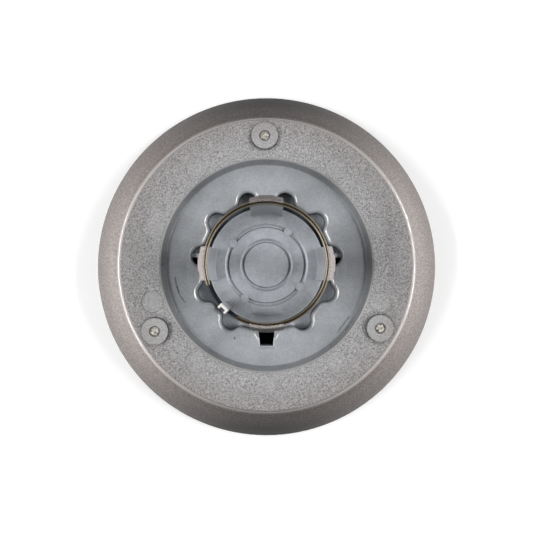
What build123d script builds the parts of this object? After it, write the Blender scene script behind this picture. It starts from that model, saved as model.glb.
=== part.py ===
import math
import os

from build123d import *

os.makedirs("parts", exist_ok=True)

# The cap lies face down: z = 0 is the front face of the hub and +Z points to the wheel.
# All sizes are in millimetres. Radii grow outward from the drum, heights upward from the hub face.

# Drum, scalloped pocket and flange, from the middle outward
drum_radius = 30.0
moat_width = 4.7
bed_width = 1.6
bed_slope = 1.2
lobe_depth = 5.0
lobe_count = 11
lobe_start = 270.0
lobe_radius = 5.4
cusp_round = 4.0
shelf_width = 2.1
shelf_land = 0.3
dish_width = 10.1
step_width = 2.7
grain_width = 20.6
band_width = 14.8
band_bulge = 0.9

# Heights
hub_floor = 3.4
moat_depth = 7.6
bed_depth = 0.9
drum_height = 6.6
dish_rise = 1.2
step_rise = 2.8
grain_rise = 1.9
band_drop = 13.5

# Walls, drafts and edge rounds of the moulding
shell_wall = 3.0
hub_wall = 2.6
drum_wall = 3.0
pocket_draft = 6.0
hub_draft = 3.0
rim_round = 1.3
rim_edge_round = 0.65
lip_round = 1.1
step_round = 0.8
hub_face_round = 1.2
drum_round = 0.5

# Snap tabs
tab_count = 4
tab_width = 16.0
tab_height = 29.2
tab_base = 3.6
tab_lean = 1.9
tab_spread = 1.3
tab_corner = 1.6
tab_root = 0.6
top_land = 0.85
ramp_run = 2.1
ramp_drop = 3.4
flare_land = 0.6
flare_drop = 1.2
barb_width = 7.6
barb_reach = 0.55
barb_land = 0.6
barb_drop = 1.2

# Hook windows and their side walls
window_width = 8.2
window_gap = 0.3
window_bite = 1.2
window_roof = 2.4
window_wall = 2.0
long_window_reach = 2.3
long_window_end = 7.0
long_window_frame = 1.6
frame_gap = 0.3

# Wire ring in the groove of the tabs
wire_diameter = 2.0
wire_clearance = 0.08
wire_inset = 0.9
wire_below_top = 2.2
lip_cover = 0.15
wire_gap_start = 200.3
wire_gap_end = 241.6

# Stop post between the wire's ends
post_angle = 226.0
post_inset = 0.4
post_width = 4.8
post_depth = 2.4
post_wall = 1.05
post_sill = 0.4
post_below_top = 1.6

# Floor of the drum
groove_radii = [11.5, 19.4]
groove_width = 2.3
groove_depth = 0.8
groove_wall_run = 0.3
groove_slope_run = 1.0
pad_count = 4
pad_angle = 57.0
pad_offset = 1.5
pad_diameter = 4.6
pad_rise = 0.15

# Bosses, pins and the round ejector marks on the grained ring
boss_count = 3
boss_inset = 9.0
boss_diameter = 13.9
boss_root = 2.7
boss_rise = 0.15
boss_start = 90.8
pin_diameter = 4.8
pin_fit = 0.05
pin_length = 2.0
pin_chamfer = 0.6
pin_recess = 0.35
pin_mouth_gap = 0.45
pin_mouth_depth = 1.1
mark_pitch = 36.0
mark_start = 18.0
mark_diameter = 11.0
mark_gap = 1.1
mark_depth = 0.22

# Reach of cutting tools past the part, and slack for picking edges at a height
cut_margin = 10.0
pick_slack = 0.01

# Radii that follow
root_radius = drum_radius + moat_width
lobe_tip = root_radius + lobe_depth
lobe_center = lobe_tip - lobe_radius
shelf_radius = lobe_tip + shelf_width
scallop_round = shelf_width - shelf_land
dish_radius = shelf_radius + dish_width
grain_radius = dish_radius + step_width
lip_radius = grain_radius + grain_width
rim_radius = lip_radius + band_width
wire_radius = wire_diameter / 2
wire_ring_radius = drum_radius - wire_inset
groove_radius = wire_radius + wire_clearance
lip_inner_radius = wire_ring_radius + lip_cover
post_radius = drum_radius - post_inset
flare_radius = lip_inner_radius + top_land + ramp_run
hook_radius = flare_radius + barb_reach
boss_ring_radius = lip_radius - boss_inset
mark_ring_radius = grain_radius + mark_gap + mark_diameter / 2

# Heights that follow
shelf_height = hub_floor + moat_depth
lobe_floor = hub_floor + bed_depth
lobe_height = moat_depth - bed_depth
dish_height = shelf_height + dish_rise
grain_height = dish_height + step_rise
lip_height = grain_height + grain_rise
rim_height = lip_height - band_drop
drum_top = hub_floor + drum_height
tab_top = drum_top + tab_height
post_foot = hub_floor - tab_root
wire_height = tab_top - wire_below_top
post_top = tab_top - post_below_top
boss_reach = boss_ring_radius + boss_diameter / 2 - grain_radius
boss_top = grain_height + grain_rise * boss_reach / grain_width + boss_rise
window_top = shelf_height - window_roof
window_start = drum_radius + window_gap
wall_start = drum_radius - drum_wall / 2
long_window_tip = lobe_tip + long_window_reach
frame_start = lobe_tip + frame_gap
frame_end = long_window_tip + long_window_frame
above_all = tab_top + cut_margin
below_all = -cut_margin


def mitred(points, distance):
    # Points of a parallel line, moved to the right of the way the points run.
    moved = []
    for index, (x, y) in enumerate(points):
        before = points[max(index - 1, 0)]
        here = (x, y)
        after = points[min(index + 1, len(points) - 1)]
        headings = []
        for start, end in ((before, here), (here, after)):
            if start != end:
                headings.append(math.atan2(end[1] - start[1], end[0] - start[0]))
        middle = sum(headings) / len(headings)
        reach = distance / math.cos((headings[-1] - headings[0]) / 2)
        moved.append((x + reach * math.sin(middle), y - reach * math.cos(middle)))
    return moved


def bulged(start, end, bulge):
    # Middle point of an arc that stands out to the left of the line from start to end.
    run = end[0] - start[0]
    rise = end[1] - start[1]
    length = math.hypot(run, rise)
    return ((start[0] + end[0]) / 2 - bulge * rise / length, (start[1] + end[1]) / 2 + bulge * run / length)


def from_axis(edge):
    # Distance of an edge's middle from the axis of the cap.
    return math.hypot(edge.center().X, edge.center().Y)


def lobed_outline(grow):
    # Outline of the scalloped pocket, or a parallel outline that is larger by grow.
    with BuildSketch() as outline:
        Circle(root_radius + grow)
        with PolarLocations(lobe_center, lobe_count, start_angle=lobe_start):
            Circle(lobe_radius + grow)
        fillet(outline.vertices(), max(cusp_round - grow, hub_face_round / 2))
    return outline.sketch


# Back and front lines of the flange, from the hub to the rim
inner_radius = root_radius - hub_wall
dish_point = (dish_radius, dish_height)
grain_point = (grain_radius, grain_height)
lip_point = (lip_radius, lip_height)
rim_point = (rim_radius, rim_height)
back = [
    (inner_radius, shelf_height),
    (shelf_radius, shelf_height),
    dish_point,
    grain_point,
    lip_point,
    rim_point,
]
front = mitred(back, shell_wall)
rim_corner = (rim_radius, front[-1][1])


def tab_section(reach, land, drop):
    # Upright section of a tab whose ramp runs on past the flare by reach, to an edge with a catch below it.
    ramp_end = tab_top - ramp_drop * (1 + reach / ramp_run)
    with BuildSketch(Plane.XZ) as section:
        with BuildLine():
            Polyline(
                (drum_radius - tab_base, drum_top - tab_root),
                (drum_radius - tab_base + tab_lean, wire_height),
                (lip_inner_radius, wire_height),
                (lip_inner_radius, tab_top),
                (lip_inner_radius + top_land, tab_top),
                (flare_radius + reach, ramp_end),
                (flare_radius + reach, ramp_end - land),
                (drum_radius + tab_spread, ramp_end - land - drop),
                (drum_radius, drum_top - tab_root),
                close=True,
            )
        make_face()
        with Locations((wire_ring_radius, wire_height)):
            Circle(groove_radius, mode=Mode.SUBTRACT)
    return section.sketch


# Tabs: a ring of the tab section, kept only at the two sides of each tab
with BuildPart() as tabs:
    revolve(tab_section(0, flare_land, flare_drop), axis=Axis.Z)
    with BuildSketch() as tab_outlines:
        with PolarLocations(hook_radius / 2, tab_count):
            RectangleRounded(hook_radius + 2 * tab_corner, tab_width, tab_corner)
            Rectangle(2 * hook_radius, barb_width, mode=Mode.SUBTRACT)
    extrude(amount=above_all, mode=Mode.INTERSECT)

# Hooks: the middle of each tab, where the ramp runs on to a barb
with BuildPart() as hooks:
    revolve(tab_section(barb_reach, barb_land, barb_drop), axis=Axis.Z)
    with BuildSketch() as hook_outlines:
        with PolarLocations(hook_radius, tab_count):
            Rectangle(hook_radius, barb_width)
    extrude(amount=above_all, mode=Mode.INTERSECT)

# Stop post: a channel that opens outward, standing in the moat against the drum
with BuildPart() as post:
    with BuildSketch(Plane.XY.offset(post_foot)):
        with Locations((post_radius, 0)):
            Rectangle(post_depth, post_width)
    extrude(amount=post_top - post_foot)
    with BuildSketch(Plane.XY.offset(drum_top + post_sill)):
        with Locations((post_radius + post_depth / 2, 0)):
            Rectangle(2 * (post_depth - post_wall), post_width - 2 * post_wall)
    extrude(amount=tab_height, mode=Mode.SUBTRACT)

# Side walls of the hook windows, held inside the pocket
with BuildPart() as window_walls:
    extrude(lobed_outline(hub_wall / 2), amount=window_top)
    with BuildSketch() as wall_outlines:
        with PolarLocations(lobe_tip, tab_count):
            Rectangle(2 * (lobe_tip - wall_start), window_width + 2 * window_wall)
    extrude(amount=window_top, mode=Mode.INTERSECT)

# Hook windows: they reach under the edge of the pocket
with BuildPart() as windows:
    extrude(lobed_outline(window_bite), amount=window_top - below_all)
    with BuildSketch() as window_outlines:
        with PolarLocations(window_start + lobe_tip / 2, tab_count):
            Rectangle(lobe_tip, window_width)
    extrude(amount=window_top - below_all, mode=Mode.INTERSECT)

# Round marks of the ejectors, sunk by a hair into the slope of the grained ring
with BuildPart() as marks:
    with BuildSketch() as mark_outlines:
        for step in range(round(360 / mark_pitch)):
            angle = mark_start + step * mark_pitch
            if abs(angle - boss_start) > mark_pitch / 2:
                with PolarLocations(mark_ring_radius, 1, start_angle=angle):
                    Circle(mark_diameter / 2)
    extrude(amount=above_all)
    with BuildSketch(Plane.XZ) as mark_band:
        with BuildLine():
            Polyline(
                (grain_radius, grain_height - mark_depth),
                (lip_radius, lip_height - mark_depth),
                (lip_radius, above_all),
                (grain_radius, above_all),
                close=True,
            )
        make_face()
    revolve(axis=Axis.Z, mode=Mode.INTERSECT)

# The moulding
with BuildPart() as cap_body:
    # Flange: one shell from the hub out to the rim
    with BuildSketch(Plane.XZ) as flange_section:
        with BuildLine():
            Polyline(*back[:-1])
            ThreePointArc(lip_point, bulged(lip_point, rim_point, band_bulge), rim_point)
            Polyline(rim_point, rim_corner, front[-1])
            ThreePointArc(front[-1], bulged(front[-2], front[-1], band_bulge), front[-2])
            Polyline(*front[-2::-1])
            Line(front[0], back[0])
        make_face()
        for point, radius in (
            (rim_point, rim_round),
            (rim_corner, rim_edge_round),
            (lip_point, lip_round),
            (grain_point, step_round),
            (dish_point, step_round),
        ):
            fillet(flange_section.vertices().sort_by_distance((point[0], point[1], 0))[0], radius)
    revolve(axis=Axis.Z)

    # Hub: the scalloped block on the front
    with BuildSketch():
        add(lobed_outline(hub_wall))
    with BuildSketch(Plane.XY.offset(shelf_height)):
        add(lobed_outline(hub_wall + shelf_height * math.tan(math.radians(hub_draft))))
    loft(ruled=True)

    # Pocket behind the hub, and the deeper bed of the moat in its floor
    with BuildSketch(Plane.XY.offset(lobe_floor)):
        add(lobed_outline(-lobe_height * math.tan(math.radians(pocket_draft))))
    with BuildSketch(Plane.XY.offset(shelf_height)):
        add(lobed_outline(0))
    loft(ruled=True, mode=Mode.SUBTRACT)
    with BuildSketch(Plane.XZ) as bed_section:
        with BuildLine():
            Polyline(
                (0, hub_floor),
                (drum_radius + bed_width, hub_floor),
                (drum_radius + bed_width + bed_slope, lobe_floor),
                (0, lobe_floor),
                close=True,
            )
        make_face()
    revolve(axis=Axis.Z, mode=Mode.SUBTRACT)
    shelf_edges = cap_body.edges().filter_by_position(Axis.Z, shelf_height - pick_slack, shelf_height + pick_slack)
    fillet(shelf_edges.filter_by(lambda edge: from_axis(edge) < lobe_tip + shelf_width / 2), scallop_round)
    face_edges = cap_body.edges().filter_by_position(Axis.Z, -pick_slack, pick_slack)
    fillet(face_edges, hub_face_round)

    # Frame round the end of the long window, on the front
    with BuildSketch():
        with Locations((0, -(frame_start + frame_end) / 2)):
            Rectangle(window_width + 2 * long_window_frame, frame_end - frame_start)
    extrude(amount=shelf_height - shell_wall / 2)

    # Drum: a raised floor in the middle, open to the front
    with BuildSketch(Plane.XY.offset(hub_floor)):
        Circle(drum_radius)
    extrude(amount=drum_height)
    drum_edges = cap_body.edges().filter_by_position(Axis.Z, drum_top - pick_slack, drum_top + pick_slack)
    fillet(drum_edges, drum_round)
    with BuildSketch():
        Circle(drum_radius - drum_wall)
    extrude(amount=drum_top - drum_wall, mode=Mode.SUBTRACT)

    # Floor grooves, with round pads that stand a hair proud across the outer one
    with BuildSketch(Plane.XZ) as groove_section:
        for radius in groove_radii:
            with BuildLine():
                Polyline(
                    (radius, drum_top),
                    (radius + groove_wall_run, drum_top - groove_depth),
                    (radius + groove_width - groove_slope_run, drum_top - groove_depth),
                    (radius + groove_width, drum_top),
                    close=True,
                )
            make_face()
    revolve(axis=Axis.Z, mode=Mode.SUBTRACT)
    with BuildSketch(Plane.XY.offset(drum_top - groove_depth)):
        with PolarLocations(groove_radii[-1] + pad_offset, pad_count, start_angle=pad_angle):
            Circle(pad_diameter / 2)
    extrude(amount=groove_depth + pad_rise)

    # Bosses
    with BuildSketch(Plane.XY.offset(boss_top)):
        with PolarLocations(boss_ring_radius, boss_count, start_angle=boss_start):
            Circle(boss_diameter / 2)
    extrude(amount=-boss_root)

    # Pin holes
    with BuildSketch(Plane.XY.offset(boss_top)):
        with PolarLocations(boss_ring_radius, boss_count, start_angle=boss_start):
            Circle(pin_diameter / 2 + pin_mouth_gap)
    extrude(amount=-pin_mouth_depth, mode=Mode.SUBTRACT)
    with BuildSketch(Plane.XY.offset(boss_top)):
        with PolarLocations(boss_ring_radius, boss_count, start_angle=boss_start):
            Circle(pin_diameter / 2 + pin_fit)
    extrude(amount=-pin_recess - pin_length, mode=Mode.SUBTRACT)

    add(marks.part, mode=Mode.SUBTRACT)

    # Tabs, post and window walls stand on the drum and in the moat
    add(tabs.part)
    add(hooks.part)
    with PolarLocations(0, 1, start_angle=post_angle):
        add(post.part)
    add(window_walls.part)
    with Locations((0, 0, below_all)):
        add(windows.part, mode=Mode.SUBTRACT)
    with BuildSketch(Plane.XY.offset(dish_height)):
        with BuildLine():
            Polyline(
                (-window_width / 2, -window_start),
                (window_width / 2, -window_start),
                (long_window_end / 2, -long_window_tip),
                (-long_window_end / 2, -long_window_tip),
                close=True,
            )
        make_face()
    extrude(amount=below_all - dish_height, mode=Mode.SUBTRACT)

cap_body.part.label = "cap_body"
export_step(cap_body.part, "parts/cap_body.step")

# Wire ring, cut open beside the post
with BuildPart() as retaining_ring:
    with BuildSketch(Plane.XZ.rotated((0, 0, wire_gap_end))) as wire_section:
        with Locations((wire_ring_radius, wire_height)):
            Circle(wire_radius)
    revolve(axis=Axis.Z, revolution_arc=360 - (wire_gap_end - wire_gap_start))
retaining_ring.part.label = "retaining_ring"
export_step(retaining_ring.part, "parts/retaining_ring.step")

# Pins, one on the floor of each boss's hole
with BuildPart() as boss_pins:
    with BuildSketch(Plane.XY.offset(boss_top - pin_recess - pin_length)):
        with PolarLocations(boss_ring_radius, boss_count, start_angle=boss_start):
            Circle(pin_diameter / 2)
    extrude(amount=pin_length)
    chamfer(boss_pins.edges().group_by(Axis.Z)[-1], pin_chamfer)
boss_pins.part.label = "boss_pins"
export_step(boss_pins.part, "parts/boss_pins.step")
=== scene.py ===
import math
from types import SimpleNamespace

import bpy
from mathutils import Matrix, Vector

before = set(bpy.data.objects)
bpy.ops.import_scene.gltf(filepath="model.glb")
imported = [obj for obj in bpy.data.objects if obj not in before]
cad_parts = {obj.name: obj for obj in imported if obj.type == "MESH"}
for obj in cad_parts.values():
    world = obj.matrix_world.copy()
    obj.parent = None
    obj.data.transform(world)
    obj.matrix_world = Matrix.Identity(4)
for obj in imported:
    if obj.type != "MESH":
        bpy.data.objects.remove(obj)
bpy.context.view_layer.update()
scene = bpy.context.scene
print("frame loaded:", sorted(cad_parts))

perMetre = 1000.0  # millimetres
noiseMiddle = 0.5
hair = 0.0001  # keeps a division from reaching zero
hairWide = 0.1  # the same where the divisor is in millimetres


def linear(colour):
    # written as 0 to 255 on screen, used as linear light
    parts = [c / 255 for c in colour]
    return tuple(p / 12.92 if p <= 0.04045 else ((p + 0.055) / 1.055) ** 2.4 for p in parts) + (1.0,)


class Value:
    # a shader socket that takes Python's operators
    def __init__(self, finish, socket):
        self.finish = finish
        self.socket = socket

    def __add__(self, other):
        return self.finish.math("ADD", self, other)

    def __radd__(self, other):
        return self.finish.math("ADD", other, self)

    def __sub__(self, other):
        return self.finish.math("SUBTRACT", self, other)

    def __rsub__(self, other):
        return self.finish.math("SUBTRACT", other, self)

    def __mul__(self, other):
        return self.finish.math("MULTIPLY", self, other)

    def __rmul__(self, other):
        return self.finish.math("MULTIPLY", other, self)

    def __truediv__(self, other):
        return self.finish.math("DIVIDE", self, other)

    def __pow__(self, other):
        return self.finish.math("POWER", self, other)


class Finish:
    # a material or world that is being wired
    def __init__(self, owner):
        owner.use_nodes = True
        self.tree = owner.node_tree
        self.tree.nodes.clear()

    def add(self, kind, settings=None, inputs=None, out=0):
        node = self.tree.nodes.new(kind)
        for name, value in (settings or {}).items():
            setattr(node, name, value)
        for name, value in (inputs or {}).items():
            if isinstance(value, Value):
                self.tree.links.new(value.socket, node.inputs[name])
            else:
                node.inputs[name].default_value = value
        return Value(self, node.outputs[out]) if node.outputs else node

    def split(self, vector):
        parts = self.add("ShaderNodeSeparateXYZ", {}, {0: vector}).socket.node
        return [Value(self, parts.outputs[axis]) for axis in range(3)]

    def math(self, operation, first, second=0.0):
        return self.add("ShaderNodeMath", {"operation": operation}, {0: first, 1: second})

    def size(self, value):
        return self.math("ABSOLUTE", value)

    def larger(self, first, second):
        return self.math("MAXIMUM", first, second)

    def fade(self, value, low, high):
        # 0 below low, 1 above high, smooth between; low may be the larger one
        if low > high:
            return 1 - self.fade(value, high, low)
        return self.add(
            "ShaderNodeMapRange",
            {"interpolation_type": "SMOOTHSTEP"},
            {"Value": value, "From Min": low, "From Max": high},
        )

    def over(self, value, edge, soft):
        return self.fade(value, edge - soft, edge + soft)

    def under(self, value, edge, soft):
        return self.fade(value, edge + soft, edge - soft)

    def noise(self, place, size, detail, rough):
        # soft noise with features about size millimetres apart
        return self.add(
            "ShaderNodeTexNoise",
            {},
            {"Vector": place, "Scale": perMetre / size, "Detail": detail, "Roughness": rough},
        )

    def mix(self, factor, under, over, blend="MIX"):
        return self.add(
            "ShaderNodeMix",
            {"data_type": "RGBA", "blend_type": blend},
            {0: factor, 6: under, 7: over},
            out=2,
        )

    def grey(self, value):
        return self.add("ShaderNodeCombineColor", {}, {0: value, 1: value, 2: value})

    def tint(self, colour, level):
        # a colour made darker or lighter by a level round 1
        return self.mix(1.0, colour, self.grey(level), "MULTIPLY")

    def surface(self, constants, links):
        shader = self.add("ShaderNodeBsdfPrincipled", {}, {**constants, **links})
        self.add("ShaderNodeOutputMaterial", {}, {"Surface": shader})


def dress(node, material):
    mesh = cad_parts[node].data
    mesh.materials.clear()
    mesh.materials.append(material)


# camera above the back of the cap, a little below its middle
cameraView = {
    "place": (0.0, -0.008, 0.2934),
    "aim": (0.0, -0.0006, 0.0034),
    "lens": 36.74,
    "sensor": 36.0,
    "nearest": 0.01,
}
bpy.ops.object.select_all(action="DESELECT")
bpy.ops.object.camera_add(location=cameraView["place"])
camera = bpy.context.object
camera.name = "camera"
toAim = Vector(cameraView["aim"]) - Vector(cameraView["place"])
camera.rotation_euler = toAim.to_track_quat("-Z", "Y").to_euler()
camera.data.sensor_width = cameraView["sensor"]
camera.data.lens = cameraView["lens"]
camera.data.clip_start = cameraView["nearest"]
scene.camera = camera
print("camera placed")

# at each side a tall soft box and a bright strip above it, in a dim room
studio = {
    "azimuths": {"left": 187.0, "right": 5.0},
    "lamps": {
        "Box": {
            "away": 0.75,
            "up": 0.46,
            "size": (1.20, 0.88),
            "level": True,
            "watts": {"left": 3.0, "right": 2.9},
        },
        "Strip": {
            "away": 0.76,
            "up": 0.50,
            "size": (0.84, 0.07),
            "level": False,
            "watts": {"left": 6.4, "right": 6.1},
        },
    },
    "roomSides": 0.20,
    "roomNorth": 0.13,
    "roomSouth": 0.06,
    "roomTop": 0.06,
    "northEdge": (-0.5, 0.5),
    "topEdge": (0.78, 0.94),
    "floorSize": 3.0,
    "floorDrop": 0.0006,
    "floorColour": (238, 238, 238),
    "floorLift": 0.25,
    "matRadius": 0.056,
    "matThickness": 0.0004,
    "matSides": 96,
    "shadowSheetColour": (8, 8, 8),
}

for kind, plan in studio["lamps"].items():
    for side, azimuth in studio["azimuths"].items():
        angle = math.radians(azimuth)
        place = Vector((math.cos(angle) * plan["away"], math.sin(angle) * plan["away"], plan["up"]))
        bpy.ops.object.light_add(type="AREA", location=place)
        lamp = bpy.context.object
        lamp.name = side + kind
        aim = Vector((-place.x, -place.y, 0 if plan["level"] else -place.z))
        lamp.rotation_euler = aim.to_track_quat("-Z", "Y").to_euler()
        lamp.data.shape = "RECTANGLE"
        lamp.data.size, lamp.data.size_y = plan["size"]
        lamp.data.energy = plan["watts"][side]
        lamp.visible_camera = False

world = bpy.data.worlds.new("studioRoom")
scene.world = world
room = Finish(world)
toward = room.add("ShaderNodeTexCoord", {}, {}, out="Generated")
east, north, up = room.split(toward)
sides = (east * east) / (east * east + north * north + hair)
overhead = room.fade(up, *studio["topEdge"])
northward = room.fade(north, *studio["northEdge"])
endWalls = studio["roomSouth"] + northward * (studio["roomNorth"] - studio["roomSouth"])
level = endWalls + sides * (studio["roomSides"] - endWalls)
level = level + overhead * (studio["roomTop"] - level)
glow = room.add("ShaderNodeBackground", {}, {"Color": room.grey(level), "Strength": 1.0})
room.add("ShaderNodeOutputWorld", {}, {"Surface": glow})

bpy.ops.mesh.primitive_plane_add(size=studio["floorSize"], location=(0, 0, -studio["floorDrop"]))
floor = bpy.context.object
floor.name = "floor"
floorPaper = bpy.data.materials.new("floorPaper")
paper = Finish(floorPaper)
plain = paper.add("ShaderNodeBsdfDiffuse", {}, {"Color": linear(studio["floorColour"])})
seen = paper.add("ShaderNodeLightPath", {}, {}, out="Is Camera Ray")
mirrored = Value(paper, seen.socket.node.outputs["Is Glossy Ray"])
passed = Value(paper, seen.socket.node.outputs["Is Transmission Ray"])
lift = paper.add(
    "ShaderNodeEmission",
    {},
    {"Color": (1, 1, 1, 1), "Strength": (seen + mirrored + passed) * studio["floorLift"]},
)
both = paper.add("ShaderNodeAddShader", {}, {0: plain, 1: lift})
paper.add("ShaderNodeOutputMaterial", {}, {"Surface": both})
floor.data.materials.append(floorPaper)

# a black sheet under the hub that stands in for shade, so that the hook windows look into the dark
bpy.ops.mesh.primitive_cylinder_add(
    vertices=studio["matSides"],
    radius=studio["matRadius"],
    depth=studio["matThickness"],
    location=(0, 0, -studio["floorDrop"] / 2),
)
mat = bpy.context.object
mat.name = "shadowSheet"
shadowSheetBlack = bpy.data.materials.new("shadowSheetBlack")
sheetFinish = Finish(shadowSheetBlack)
sheetShader = sheetFinish.add("ShaderNodeBsdfDiffuse", {}, {"Color": linear(studio["shadowSheetColour"])})
sheetFinish.add("ShaderNodeOutputMaterial", {}, {"Surface": sheetShader})
mat.data.materials.append(shadowSheetBlack)
print("studio lit")

# the moulding: radii and heights in millimetres, as they are in the solid
capSizes = {
    "rim": 90.0,
    "lip": 75.2,
    "ring": 54.6,
    "step": 51.9,
    "scallops": 42.5,
    "drumEdge": 30.0,
    "grooveOuter": 19.55,
    "grooveInner": 11.65,
    "drumTop": 10.0,
    "shelf": 11.0,
    "rampFoot": 33.2,
}
capSpecular = 0.6
southSoft = 5.0

# noises that the finishes share: size in millimetres, detail, roughness
capNoises = {
    "grain": (1.25, 4.0, 0.7),
    "fleck": (0.8, 2.0, 0.6),
    "speck": (0.55, 1.0, 0.5),
    "patch": (9.0, 2.0, 0.5),
    "mottle": (2.2, 3.0, 0.6),
}


def near(f, value, size, span):
    # a soft edge beside one of the sizes: 0 at the span's first place, 1 at its second
    return f.fade(value, capSizes[size] + span[0], capSizes[size] + span[1])


def capPlace(f):
    # where a point lies, in millimetres, which way its surface faces, and the noises there
    at = SimpleNamespace()
    spot = f.add("ShaderNodeTexCoord", {}, {}, out="Object")
    at.x, at.y, at.z = [axis * perMetre for axis in f.split(spot)]
    sideways, endways, at.tilt = f.split(f.add("ShaderNodeTexCoord", {}, {}, out="Normal"))
    at.toSides = (sideways * sideways) / (sideways * sideways + endways * endways + hair)
    square = at.x * at.x + at.y * at.y
    at.radius = square ** 0.5
    at.turn = f.math("ARCTAN2", at.y, at.x) * math.degrees(1)
    at.outward = (sideways * at.x + endways * at.y) / (at.radius + hairWide)
    at.ends = (1 - (at.x * at.x) / (square + hairWide)) ** 2  # 1 toward both ends of Y, 0 toward both of X
    at.slanting = ((at.x * at.y * 2) / (square + hairWide)) ** 2  # 1 on the diagonals
    at.south = f.under(at.y, 0, southSoft)
    for name, (size, detail, rough) in capNoises.items():
        setattr(at, name, f.noise(spot, size, detail, rough) - noiseMiddle)
    return at


def away(f, at, look):
    # distance from the nearest of the round places that lie in a circle
    share = (at.turn - look["turn"]) / look["pitch"]
    off = (share - f.math("ROUND", share)) * math.radians(look["pitch"])
    over = at.radius * f.math("COSINE", off) - look["circle"]
    along = at.radius * f.math("SINE", off)
    return (over * over + along * along) ** 0.5


# front: one plain paint, also on the outer wall of the hub and in the bare recess
frontLook = {
    "colour": (172, 168, 164),
    "turnedAway": (-0.05, -0.25),
    "wallFacing": (0.3, 0.5),
    "wallInner": 36.2,
    "wallOuter": 45.5,
    "wallTop": 8.6,
    "wallSoft": 0.4,
    "recess": 28.4,
    "recessTop": 7.2,
    "soft": 0.2,
    "patch": 0.12,
    "fleck": 1.1,
    "roughness": 0.46,
    "metallic": 0.5,
}


def frontZone(f, at):
    look = frontLook
    wall = f.fade(at.outward, *look["wallFacing"]) * f.under(at.z, look["wallTop"], look["soft"])
    wall = wall * f.over(at.radius, look["wallInner"], look["wallSoft"])
    wall = wall * f.under(at.radius, look["wallOuter"], look["wallSoft"])
    recess = f.under(at.radius, look["recess"], look["soft"])
    recess = recess * f.under(at.z, look["recessTop"], look["soft"])
    return f.larger(f.fade(at.tilt, *look["turnedAway"]), f.larger(wall, recess))


def frontTone(f, at):
    look = frontLook
    level = (1 + at.patch * look["patch"]) * (1 + at.fleck * look["fleck"])
    return f.tint(linear(look["colour"]), level)


# rim: warm silver paint with painted shade toward both ends of Y and its outer edge, and a painted highlight
# on the lip at the sides
rimLook = {
    "paint": (156, 148, 145),
    "lipPaintedHighlight": (206, 199, 196),
    "span": (-0.5, 0.3),
    "shoulder": (6.0, 1.0),
    "shoulderDark": 0.15,
    "outerInset": 1.0,
    "outerPaintedShade": 0.23,
    "endsPaintedShade": 0.52,
    "outerEndsPaintedShade": 0.44,
    "fleck": 1.8,
    "lipOuter": (1.2, 0.6),
    "lipInner": (-1.0, -0.5),
    "lipShare": 0.8,
    "lipRoughness": 0.24,
    "roughness": 0.17,
    "metallic": 0.5,
    "lipDull": 0.5,
}


def rimTone(f, at):
    look = rimLook
    outer = f.fade(at.radius, capSizes["lip"] - look["outerInset"], capSizes["rim"] - look["outerInset"])
    shoulder = near(f, at.radius, "lip", look["shoulder"])
    # painted shade toward the outer edge and toward both ends of Y
    level = (1 - outer * look["outerPaintedShade"]) * (1 - shoulder * look["shoulderDark"])
    level = level * (1 - at.ends * (look["endsPaintedShade"] + outer * look["outerEndsPaintedShade"]))
    return f.tint(linear(look["paint"]), level * (1 + at.fleck * look["fleck"]))


# ring: coarse moulded grain, with paint mist that thickens toward the lip, and painted shade next to the lip
# toward the south end
ringLook = {
    "plastic": (172, 171, 172),
    "overspray": (157, 153, 152),
    "span": (-0.4, 0.2),
    "grainInner": (0.0, 0.6),
    "grainOuter": (-0.6, -1.2),
    "mistStart": 3.0,
    "mistRagged": 8.0,
    "grain": 1.15,
    "fleck": 2.4,
    "southLip": (-2.0, -0.8),
    "southLipPaintedShade": 0.3,
    "roughness": 0.23,
    "relief": 0.0012,
    "reliefStrength": 0.9,
}

# three bosses: smooth tops, a painted shadow line round each that is darkest on the side toward the axis,
# and painted shade round them
bossLook = {
    "circle": 66.2,
    "turn": 90.8,
    "pitch": 120.0,
    "radius": 6.95,
    "top": (-0.1, -0.5),
    "topSmooth": 0.55,
    "line": 0.15,
    "lineSpan": (0.5, 0.2),
    "lineDark": 0.06,
    "innerSoft": 4.0,
    "innerShadowLineDark": 0.44,
    "paintedShadeReach": 3.0,
    "paintedShadeStart": 0.3,
    "paintedShadeDark": 0.2,
}

# ejector marks: faint discs, one of them clearer, and none where the first boss stands
markLook = {
    "circle": 61.2,
    "turn": 18.0,
    "pitch": 36.0,
    "radius": 5.5,
    "disc": (0.1, -0.2),
    "discSmooth": 0.45,
    "lineInner": (-0.5, -0.1),
    "lineOuter": (0.4, 0.0),
    "lineDark": 0.3,
    "besideBoss": (10.0, 14.0),
    "clearTurn": -162.0,
    "clearReach": (14.0, 10.0),
    "faint": 0.55,
}


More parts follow.
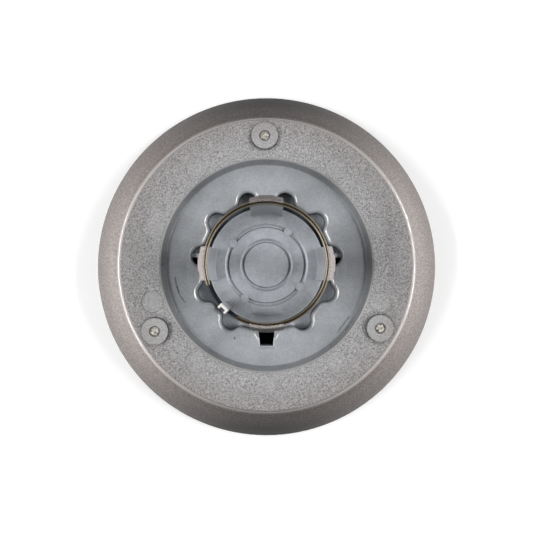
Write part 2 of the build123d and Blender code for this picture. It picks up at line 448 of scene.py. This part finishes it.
def ringMarks(f, at):
    # how coarse the ring's grain is, and how much its marks and the painted shade round the bosses darken it
    fromBoss = away(f, at, bossLook) - bossLook["radius"]
    fromMark = away(f, at, markLook) - markLook["radius"]
    shown = f.fade(f.size(at.turn - bossLook["turn"]), *markLook["besideBoss"])
    clear = f.fade(f.size(at.turn - markLook["clearTurn"]), *markLook["clearReach"])
    shown = shown * (markLook["faint"] + clear * (1 - markLook["faint"]))
    disc = f.fade(fromMark, *markLook["disc"]) * at.ring * shown
    discLine = f.fade(fromMark, *markLook["lineInner"]) * f.fade(fromMark, *markLook["lineOuter"]) * shown
    bossTop = f.fade(fromBoss, *bossLook["top"])
    bossShadowLine = f.fade(f.size(fromBoss - bossLook["line"]), *bossLook["lineSpan"])
    inner = f.under(at.radius, bossLook["circle"], bossLook["innerSoft"])
    # painted shade round each boss, and a painted shadow line at its edge, darker on the side toward the
    # axis
    bossShade = f.fade(fromBoss, bossLook["paintedShadeReach"], 0) * f.fade(fromBoss, -bossLook["paintedShadeStart"], 0)
    at.coarse = near(f, at.radius, "ring", ringLook["grainInner"])
    at.coarse = at.coarse * near(f, at.radius, "lip", ringLook["grainOuter"])
    at.coarse = at.coarse * (1 - disc * markLook["discSmooth"]) * (1 - bossTop * bossLook["topSmooth"])
    lineDark = bossLook["lineDark"] + inner * bossLook["innerShadowLineDark"]
    level = (1 - bossShade * bossLook["paintedShadeDark"]) * (1 - bossShadowLine * lineDark)
    return level * (1 - discLine * markLook["lineDark"])


def ringTone(f, at):
    look = ringLook
    level = ringMarks(f, at)
    level = level * (1 + (at.grain * look["grain"] + at.fleck * look["fleck"]) * at.coarse)
    ragged = at.radius + at.grain * look["mistRagged"]
    mist = f.fade(ragged, capSizes["ring"] + look["mistStart"], capSizes["lip"])
    tone = f.tint(f.mix(mist, linear(look["plastic"]), linear(look["overspray"])), level)
    # painted shade next to the lip toward the south end
    southLip = near(f, at.radius, "lip", look["southLip"]) * at.ends * at.south
    return f.mix(southLip * look["southLipPaintedShade"], tone, (0, 0, 0, 1))


# dish and step: smooth bare plastic, with painted tab shadows toward both ends of X
dishLook = {
    "plastic": (164, 167, 171),
    "patch": 0.34,
    "mottle": 0.22,
    "fleck": 0.6,
    "stepSpan": (-0.3, 0.3),
    "stepDark": 0.30,
    "sideReach": (0.12, 0.0),
    "sideSpan": (4.0, 8.0),
    "sidePaintedShadow": 0.27,
    "edgeHighlightPaint": (206, 202, 199),
    "edgeTilt": (0.99, 0.97),
    "edgeInner": (-0.6, -0.2),
    "edgeOuter": (1.0, 0.6),
    "edgeShare": 0.2,
    "edgeSouth": 0.6,
    "roughness": 0.33,
    "edgeMetallic": 0.4,
}

# scratches on the dish: both ends in millimetres and the width
scratchLook = {
    "tone": (66, 68, 74),
    "strokes": [
        ((-47.4, -6.0), (-46.6, -10.4), 0.45),
        ((-46.6, -10.4), (-44.9, -15.6), 0.6),
        ((-44.9, -15.6), (-42.0, -19.6), 0.5),
        ((36.2, -35.2), (42.8, -26.4), 0.4),
        ((40.4, -34.0), (44.4, -28.0), 0.3),
        ((-16.8, -37.2), (-16.2, -38.8), 0.5),
        ((-53.6, 0.6), (-53.5, -0.6), 0.9),
    ],
    "core": 0.3,
    "waver": 0.5,
    "past": 0.3,
    "taper": 0.6,
    "broken": (-0.2, 0.05),
}


def scratchMask(f, at):
    look = scratchLook
    mask = None
    for (x0, y0), (x1, y1), width in look["strokes"]:
        length = math.hypot(x1 - x0, y1 - y0)
        ux = (x1 - x0) / length
        uy = (y1 - y0) / length
        along = (at.x - x0) * ux + (at.y - y0) * uy
        across = f.size((at.y - y0) * ux - (at.x - x0) * uy) + at.patch * look["waver"]
        fromMiddle = f.size(along - length / 2)
        stroke = f.fade(across, width, width * look["core"])
        stroke = stroke * f.fade(fromMiddle, length / 2 + look["past"], length / 2 - look["taper"])
        mask = stroke if mask is None else f.larger(mask, stroke)
    return mask * (1 - at.ring) * (1 - at.band) * f.fade(at.speck, *look["broken"])


# long window: painted highlights along its sides and a darker sill past its end
windowLook = {
    "end": 42.0,
    "half": 3.5,
    "taper": 0.051,
    "edgeSpan": (0.55, 0.2),
    "edgeTop": (7.0, 5.5),
    "edgeFoot": (-0.3, 0.0),
    "sideEdgeHighlight": 0.8,
    "sill": 1.3,
    "sillSpan": (0.8, 0.4),
    "sillTop": (0.1, -0.1),
    "sillFoot": (-0.2, 0.1),
    "sillDark": 0.2,
}


def windowLevel(f, at):
    look = windowLook
    toEnd = look["end"] + at.y
    fromSide = f.size(at.x) - look["half"] - toEnd * look["taper"]
    # painted highlights along the window's sides
    edge = f.fade(fromSide, *look["edgeSpan"])
    edge = edge * f.fade(toEnd, *look["edgeTop"]) * f.fade(toEnd, *look["edgeFoot"])
    sill = f.fade(fromSide, *look["sillSpan"]) * f.fade(toEnd, *look["sillTop"])
    sill = sill * f.fade(toEnd + look["sill"], *look["sillFoot"])
    return (1 + edge * look["sideEdgeHighlight"]) * (1 - sill * look["sillDark"])


# hub: painted light on the lobe floors, painted shade in the moat, on the pocket walls and in the northern
# pockets, and a painted highlight on the rolled edge of the scallops
hubLook = {
    "lobe": (210, 214, 218),
    "moat": (84, 91, 99),
    "depth": (-0.6, -3.5),
    "span": (0.0, -1.0),
    "lobeSpan": (1.8, 3.8),
    "lobeTilt": (0.35, 0.75),
    "northSpan": (22.0, 34.0),
    "northPaintedShade": 0.6,
    "rolledStart": (0.96, 0.925),
    "rolledEnd": (0.72, 0.82),
    "rolledSides": (0.2, 0.75),
    "edgeFoot": (-1.9, -1.2),
    "edgeTop": (0.6, 0.2),
    "edgeOuter": (0.0, -0.4),
    "edgeInner": (2.0, 3.0),
}


def paintedHighlightEdges(f, at):
    # painted highlights on the scallops toward the sides, and on the step, most of all on its lower
    # diagonals
    look = hubLook
    rolled = f.fade(at.tilt, *look["rolledStart"]) * f.fade(at.tilt, *look["rolledEnd"])
    rolled = rolled * f.fade(at.toSides, *look["rolledSides"])
    rolled = rolled * near(f, at.z, "shelf", look["edgeFoot"]) * near(f, at.z, "shelf", look["edgeTop"])
    rolled = rolled * near(f, at.radius, "scallops", look["edgeOuter"]) * (1 - at.drum)
    rolled = rolled * near(f, at.radius, "drumEdge", look["edgeInner"])
    look = dishLook
    step = f.fade(at.tilt, *look["edgeTilt"]) * near(f, at.radius, "ring", look["edgeInner"])
    step = step * near(f, at.radius, "ring", look["edgeOuter"])
    return f.larger(rolled, step * (look["edgeShare"] + at.slanting * at.south * look["edgeSouth"]))


# drum floor: stepped grooves and round pads, with painted shade on the groove walls, painted light and shade
# on their slopes, painted shade toward its edge and painted light in its core and toward both ends of X
drumLook = {
    "plastic": (186, 190, 196),
    "low": (1.5, 0.5),
    "span": (-0.2, -0.6),
    "grooves": (-6.0, -7.0),
    "grooveDepth": (-0.02, -0.12),
    "grooveWall": (0.7, 0.3),
    "grooveWallPaintedShade": 0.5,
    "slopeStart": (0.93, 0.85),
    "slopeEnd": (0.55, 0.7),
    "slopeSidesPaintedLight": 0.4,
    "slopePaintedShade": 0.15,
    "edgeSpan": (-16.0, -2.0),
    "edgePaintedShade": 0.44,
    "coreSpan": (0.8, -0.8),
    "corePaintedLight": 0.14,
    "sidePaintedLight": 0.24,
}

padLook = {
    "circle": 20.9,
    "turn": 57.0,
    "pitch": 90.0,
    "radius": 2.3,
    "soft": 0.1,
    "lineSpan": (0.4, 0.1),
    "light": 0.1,
    "lineDark": 0.16,
}


def drumLevel(f, at, toSideEnds):
    look = drumLook
    inGrooves = near(f, at.radius, "drumEdge", look["grooves"]) * at.low
    sunk = near(f, at.z, "drumTop", look["grooveDepth"]) * inGrooves
    fromEdges = [f.size(at.radius - capSizes[name]) for name in ("grooveInner", "grooveOuter")]
    walls = f.fade(f.math("MINIMUM", *fromEdges), *look["grooveWall"]) * sunk
    slopes = f.fade(at.tilt, *look["slopeStart"]) * f.fade(at.tilt, *look["slopeEnd"]) * inGrooves
    fromPad = away(f, at, padLook) - padLook["radius"]
    pad = f.under(fromPad, 0, padLook["soft"]) * at.drum
    padLine = f.fade(f.size(fromPad), *padLook["lineSpan"]) * at.drum
    core = near(f, at.radius, "grooveInner", look["coreSpan"]) * at.drum
    pastCore = f.fade(at.radius, capSizes["grooveInner"], capSizes["grooveOuter"]) * at.drum
    level = (1 + pad * padLook["light"]) * (1 - padLine * padLook["lineDark"])
    # painted shade on the groove walls, painted light and shade on the groove slopes, painted shade toward
    # the drum's edge, and painted light in its core and toward both ends of X
    level = level * (1 - walls * look["grooveWallPaintedShade"])
    level = level * (1 + slopes * (at.toSides * look["slopeSidesPaintedLight"] - look["slopePaintedShade"]))
    level = level * (1 - at.drum * near(f, at.radius, "drumEdge", look["edgeSpan"]) * look["edgePaintedShade"])
    return level * (1 + core * look["corePaintedLight"]) * (1 + pastCore * toSideEnds * look["sidePaintedLight"])


# tabs: painted shade on their faces, less of it toward the south, painted ramps at their mouths with painted
# shade toward both ends of Y, and the pale top of the stop post
tabLook = {
    "rampPaint": (166, 158, 155),
    "postTop": (232, 230, 226),
    "faces": (1.0, 3.0),
    "facePaintedShade": 0.36,
    "inHub": (6.0, 4.0),
    "southPaintedLight": 0.12,
    "southTabPaintedLight": 0.18,
    "rampSpan": (-0.5, 0.5),
    "rampInner": 30.2,
    "rampSlope": 0.8,
    "speck": 1.8,
    "endsSpeck": 1.4,
    "endsPaintedShade": 0.54,
    "southLipPaintedLight": 0.36,
    "southSlopePaintedShade": 0.76,
    "postPlace": (-20.56, -21.29),
    "postReach": 3.2,
    "postSoft": 0.3,
    "roughness": 0.2,
}


def rampTone(f, at):
    look = tabLook
    slope = f.fade(at.radius, look["rampInner"], look["rampInner"] + look["rampSlope"])
    southPaintedShade = slope * look["southSlopePaintedShade"] - look["southLipPaintedLight"]
    level = 1 + at.speck * (look["speck"] + at.ends * look["endsSpeck"])
    # painted shade toward both ends of Y; toward the south a painted lighter lip and a darker slope
    level = level * (1 - at.ends * (look["endsPaintedShade"] + at.south * southPaintedShade))
    return f.tint(linear(look["rampPaint"]), level)


def postMask(f, at):
    look = tabLook
    overX = at.x - look["postPlace"][0]
    overY = at.y - look["postPlace"][1]
    reach = look["postReach"]
    return f.fade(overX * overX + overY * overY, reach ** 2, (reach - look["postSoft"]) ** 2) * at.ramps


def plasticTone(f, at):
    # the bare plastic inside the ring: dish, step, pocket, drum and tabs
    step = near(f, at.radius, "step", dishLook["stepSpan"]) * (1 - at.ring) * (1 - at.band)
    toSideEnds = f.fade(at.ends, *dishLook["sideReach"])
    pocket = near(f, at.z, "drumTop", hubLook["depth"]) * near(f, at.radius, "scallops", hubLook["span"])
    lobeFloor = near(f, at.radius, "drumEdge", hubLook["lobeSpan"]) * f.fade(at.tilt, *hubLook["lobeTilt"])
    tone = f.mix(at.drum, linear(dishLook["plastic"]), linear(drumLook["plastic"]))
    # painted light on the lobe floors, painted shade in the moat and on the pocket walls
    tone = f.mix(pocket, tone, f.mix(lobeFloor, linear(hubLook["moat"]), linear(hubLook["lobe"])))

    level = 1 + at.patch * dishLook["patch"] + at.mottle * dishLook["mottle"]
    level = (level + at.fleck * dishLook["fleck"]) * (1 - step * dishLook["stepDark"])
    # painted shade in the northern pockets
    level = level * (1 - pocket * f.fade(at.y, *hubLook["northSpan"]) * hubLook["northPaintedShade"])
    faces = near(f, at.z, "drumTop", tabLook["faces"])
    inHub = near(f, at.radius, "drumEdge", tabLook["inHub"])
    southPaintedLight = at.south * (tabLook["southPaintedLight"] + inHub * tabLook["southTabPaintedLight"])
    # painted shade on the plastic that stands above the drum, mostly the tab faces, with less of it toward
    # the south
    level = level * (1 - faces * (tabLook["facePaintedShade"] - southPaintedLight))
    # painted tab shadows on the dish toward both ends of X
    tabShadowSides = toSideEnds * near(f, at.radius, "drumEdge", dishLook["sideSpan"])
    level = level * (1 - tabShadowSides * dishLook["sidePaintedShadow"])
    level = level * drumLevel(f, at, toSideEnds) * windowLevel(f, at)
    return f.mix(scratchMask(f, at), f.tint(tone, level), linear(scratchLook["tone"]))


def capFinish():
    material = bpy.data.materials.new("capMoulding")
    f = Finish(material)
    at = capPlace(f)

    # where each finish lies
    at.band = near(f, at.radius, "lip", rimLook["span"])
    at.ring = near(f, at.radius, "ring", ringLook["span"]) * (1 - at.band)
    at.low = near(f, at.z, "drumTop", drumLook["low"])
    at.drum = near(f, at.radius, "drumEdge", drumLook["span"]) * at.low
    at.ramps = near(f, at.z, "rampFoot", tabLook["rampSpan"])
    front = frontZone(f, at)
    bright = paintedHighlightEdges(f, at)
    lipEdge = near(f, at.radius, "lip", rimLook["lipOuter"]) * near(f, at.radius, "lip", rimLook["lipInner"])
    # painted highlight along the lip, only toward the sides of X
    lipHighlightSides = lipEdge * (1 - at.ends)

    # each finish over the one before it
    colour = f.mix(at.ring, plasticTone(f, at), ringTone(f, at))
    colour = f.mix(at.ramps, colour, rampTone(f, at))
    colour = f.mix(at.band, colour, rimTone(f, at))
    colour = f.mix(postMask(f, at), colour, linear(tabLook["postTop"]))
    # painted highlights on the edges of the scallops and the step
    colour = f.mix(bright, colour, linear(dishLook["edgeHighlightPaint"]))
    colour = f.mix(lipHighlightSides * rimLook["lipShare"], colour, linear(rimLook["lipPaintedHighlight"]))
    colour = f.mix(front, colour, frontTone(f, at))

    roughness = dishLook["roughness"] + at.ring * ringLook["roughness"]
    roughness = roughness + at.ramps * tabLook["roughness"] + at.band * rimLook["roughness"]
    roughness = roughness + lipHighlightSides * (rimLook["lipRoughness"] - roughness)
    roughness = roughness + front * (frontLook["roughness"] - roughness)
    painted = at.band * rimLook["metallic"] * (1 - lipEdge * rimLook["lipDull"])
    metallic = f.larger(painted, bright * dishLook["edgeMetallic"])
    metallic = metallic + front * (frontLook["metallic"] - metallic)
    relief = f.add(
        "ShaderNodeBump",
        {},
        {
            "Height": (at.grain + at.fleck + noiseMiddle) * at.coarse * (1 - front),
            "Distance": ringLook["relief"],
            "Strength": ringLook["reliefStrength"],
        },
    )
    f.surface(
        {"Specular IOR Level": capSpecular},
        {"Base Color": colour, "Roughness": roughness, "Metallic": metallic, "Normal": relief},
    )
    return material


dress("cap_body", capFinish())
print("cap finished")

# spring wire with a yellow-brown skin, with painted reflections lighter on its flanks and darker along its
# top
wireLook = {
    "flankHighlight": (146, 138, 122),
    "top": (76, 63, 46),
    "ringRadius": 29.1,
    "wireRadius": 1.0,
    "flankSpan": (0.3, 0.7),
    "streak": (6.0, 2.0, 0.5),
    "streakWaver": 0.3,
    "streakRoughness": 0.08,
    "roughness": 0.36,
    "metallic": 0.85,
}


def wireFinish():
    look = wireLook
    material = bpy.data.materials.new("springWire")
    f = Finish(material)
    spot = f.add("ShaderNodeTexCoord", {}, {}, out="Object")
    x, y = [axis * perMetre for axis in f.split(spot)[:2]]
    streak = f.noise(spot, *look["streak"])
    across = ((x * x + y * y) ** 0.5 - look["ringRadius"]) / look["wireRadius"]
    # painted reflections on the flanks, darker along the top
    flankHighlight = f.fade(f.size(across + (streak - noiseMiddle) * look["streakWaver"]), *look["flankSpan"])
    colour = f.mix(flankHighlight, linear(look["top"]), linear(look["flankHighlight"]))
    roughness = look["roughness"] + streak * look["streakRoughness"]
    f.surface({"Metallic": look["metallic"]}, {"Base Color": colour, "Roughness": roughness})
    return material


dress("retaining_ring", wireFinish())

# cut ends of steel pins
pinLook = {
    "bright": (228, 223, 214),
    "dark": (92, 88, 82),
    "scratch": (1.1, 3.0, 0.6),
    "scratchSpan": (0.28, 0.66),
    "scratchRoughness": 0.2,
    "roughness": 0.4,
    "metallic": 0.45,
}


def pinFinish():
    look = pinLook
    material = bpy.data.materials.new("pinSteel")
    f = Finish(material)
    spot = f.add("ShaderNodeTexCoord", {}, {}, out="Object")
    scratch = f.fade(f.noise(spot, *look["scratch"]), *look["scratchSpan"])
    colour = f.mix(scratch, linear(look["dark"]), linear(look["bright"]))
    roughness = look["roughness"] + scratch * look["scratchRoughness"]
    f.surface({"Metallic": look["metallic"]}, {"Base Color": colour, "Roughness": roughness})
    return material


dress("boss_pins", pinFinish())
print("wire and pins finished")

scene.view_settings.view_transform = "Standard"
